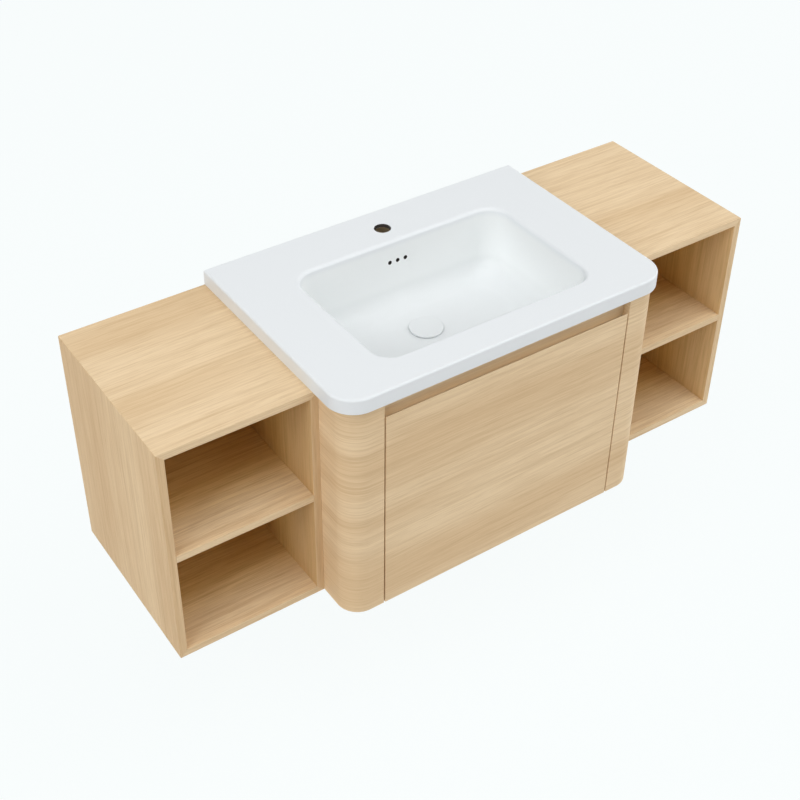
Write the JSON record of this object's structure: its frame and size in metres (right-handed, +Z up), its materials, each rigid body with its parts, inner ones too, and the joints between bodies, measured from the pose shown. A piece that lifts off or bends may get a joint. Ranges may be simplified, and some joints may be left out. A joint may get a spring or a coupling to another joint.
{
  "type": "floating bathroom vanity",
  "caption": "Wall-hung vanity: a ceramic basin over a centre cabinet with rounded front corners and one full-extension drawer, with an open shelf box on each side.",
  "frame": {"origin": "middle of the four wall-screw holes, on the wall plane at the centre cabinet's back", "axes": "+X along the wall to the viewer's right, +Y into the wall, +Z up; the drawer opens towards -Y"},
  "size_m": [1.37, 0.509, 0.541],
  "materials": {
    "oak_veneer": "matt lacquered light oak veneer with fine straight grain",
    "drawer_board": "lacquered plywood and board",
    "ceramic": "white glaze",
    "zinc_steel": "zinc plated",
    "chrome": "polished",
    "rubber": "matt black"
  },
  "bodies": {
    "cabinet": {"left_side_panel": "oak_veneer", "right_side_panel": "oak_veneer", "left_corner_post": "oak_veneer", "right_corner_post": "oak_veneer", "left_housing_side": "oak_veneer", "right_housing_side": "oak_veneer", "bottom_panel": "oak_veneer", "pull_rail": "oak_veneer", "upper_back_rail": "oak_veneer", "lower_back_rail": "oak_veneer", "left_box_top": "oak_veneer", "left_box_bottom": "oak_veneer", "left_box_outer_side": "oak_veneer", "left_box_inner_side": "oak_veneer", "left_box_back": "oak_veneer", "left_box_shelf": "oak_veneer", "left_box_hanging_rail": "oak_veneer", "left_box_dowels": "drawer_board", "left_box_screws": "zinc_steel", "right_box_top": "oak_veneer", "right_box_bottom": "oak_veneer", "right_box_outer_side": "oak_veneer", "right_box_inner_side": "oak_veneer", "right_box_back": "oak_veneer", "right_box_shelf": "oak_veneer", "right_box_hanging_rail": "oak_veneer", "right_box_dowels": "drawer_board", "right_box_screws": "zinc_steel", "basin": "ceramic", "drain_body": "chrome", "drain_gasket": "rubber", "drain_seal": "rubber", "drain_locknut": "chrome", "tailpiece": "chrome", "housing_slide_screws": "zinc_steel", "left_slide_cabinet_member": "zinc_steel", "right_slide_cabinet_member": "zinc_steel"},
    "drawer": {"drawer_front": "oak_veneer", "drawer_left_side": "drawer_board", "drawer_right_side": "drawer_board", "drawer_inner_front": "drawer_board", "drawer_bottom": "drawer_board", "drawer_left_back": "drawer_board", "drawer_right_back": "drawer_board", "notch_left_board": "drawer_board", "notch_right_board": "drawer_board", "notch_front_board": "drawer_board", "drawer_front_screws": "zinc_steel", "drawer_bumpers": "rubber", "drawer_slide_screws": "zinc_steel", "left_slide_drawer_member": "zinc_steel", "right_slide_drawer_member": "zinc_steel"},
    "slide_middles": {"left_slide_middle_member": "zinc_steel", "right_slide_middle_member": "zinc_steel", "left_slide_balls": "chrome", "right_slide_balls": "chrome"},
    "popup": {"popup_cap": "ceramic", "popup_stem": "chrome", "popup_seal": "rubber"}
  },
  "joints": [
    {"name": "drawer_slide", "type": "slide", "parent": "cabinet", "child": "drawer", "axis": [0, -1, 0], "range_m": [0, 0.43]},
    {"name": "middle_slide", "type": "slide", "parent": "cabinet", "child": "slide_middles", "axis": [0, -1, 0], "range_m": [0, 0.215]},
    {"name": "popup_lift", "type": "slide", "parent": "cabinet", "child": "popup", "axis": [0, 0, 1], "range_m": [0, 0.0087]}
  ],
  "couplings": [
    {"joint": "middle_slide", "follows": "drawer_slide", "ratio": 0.5}
  ]
}
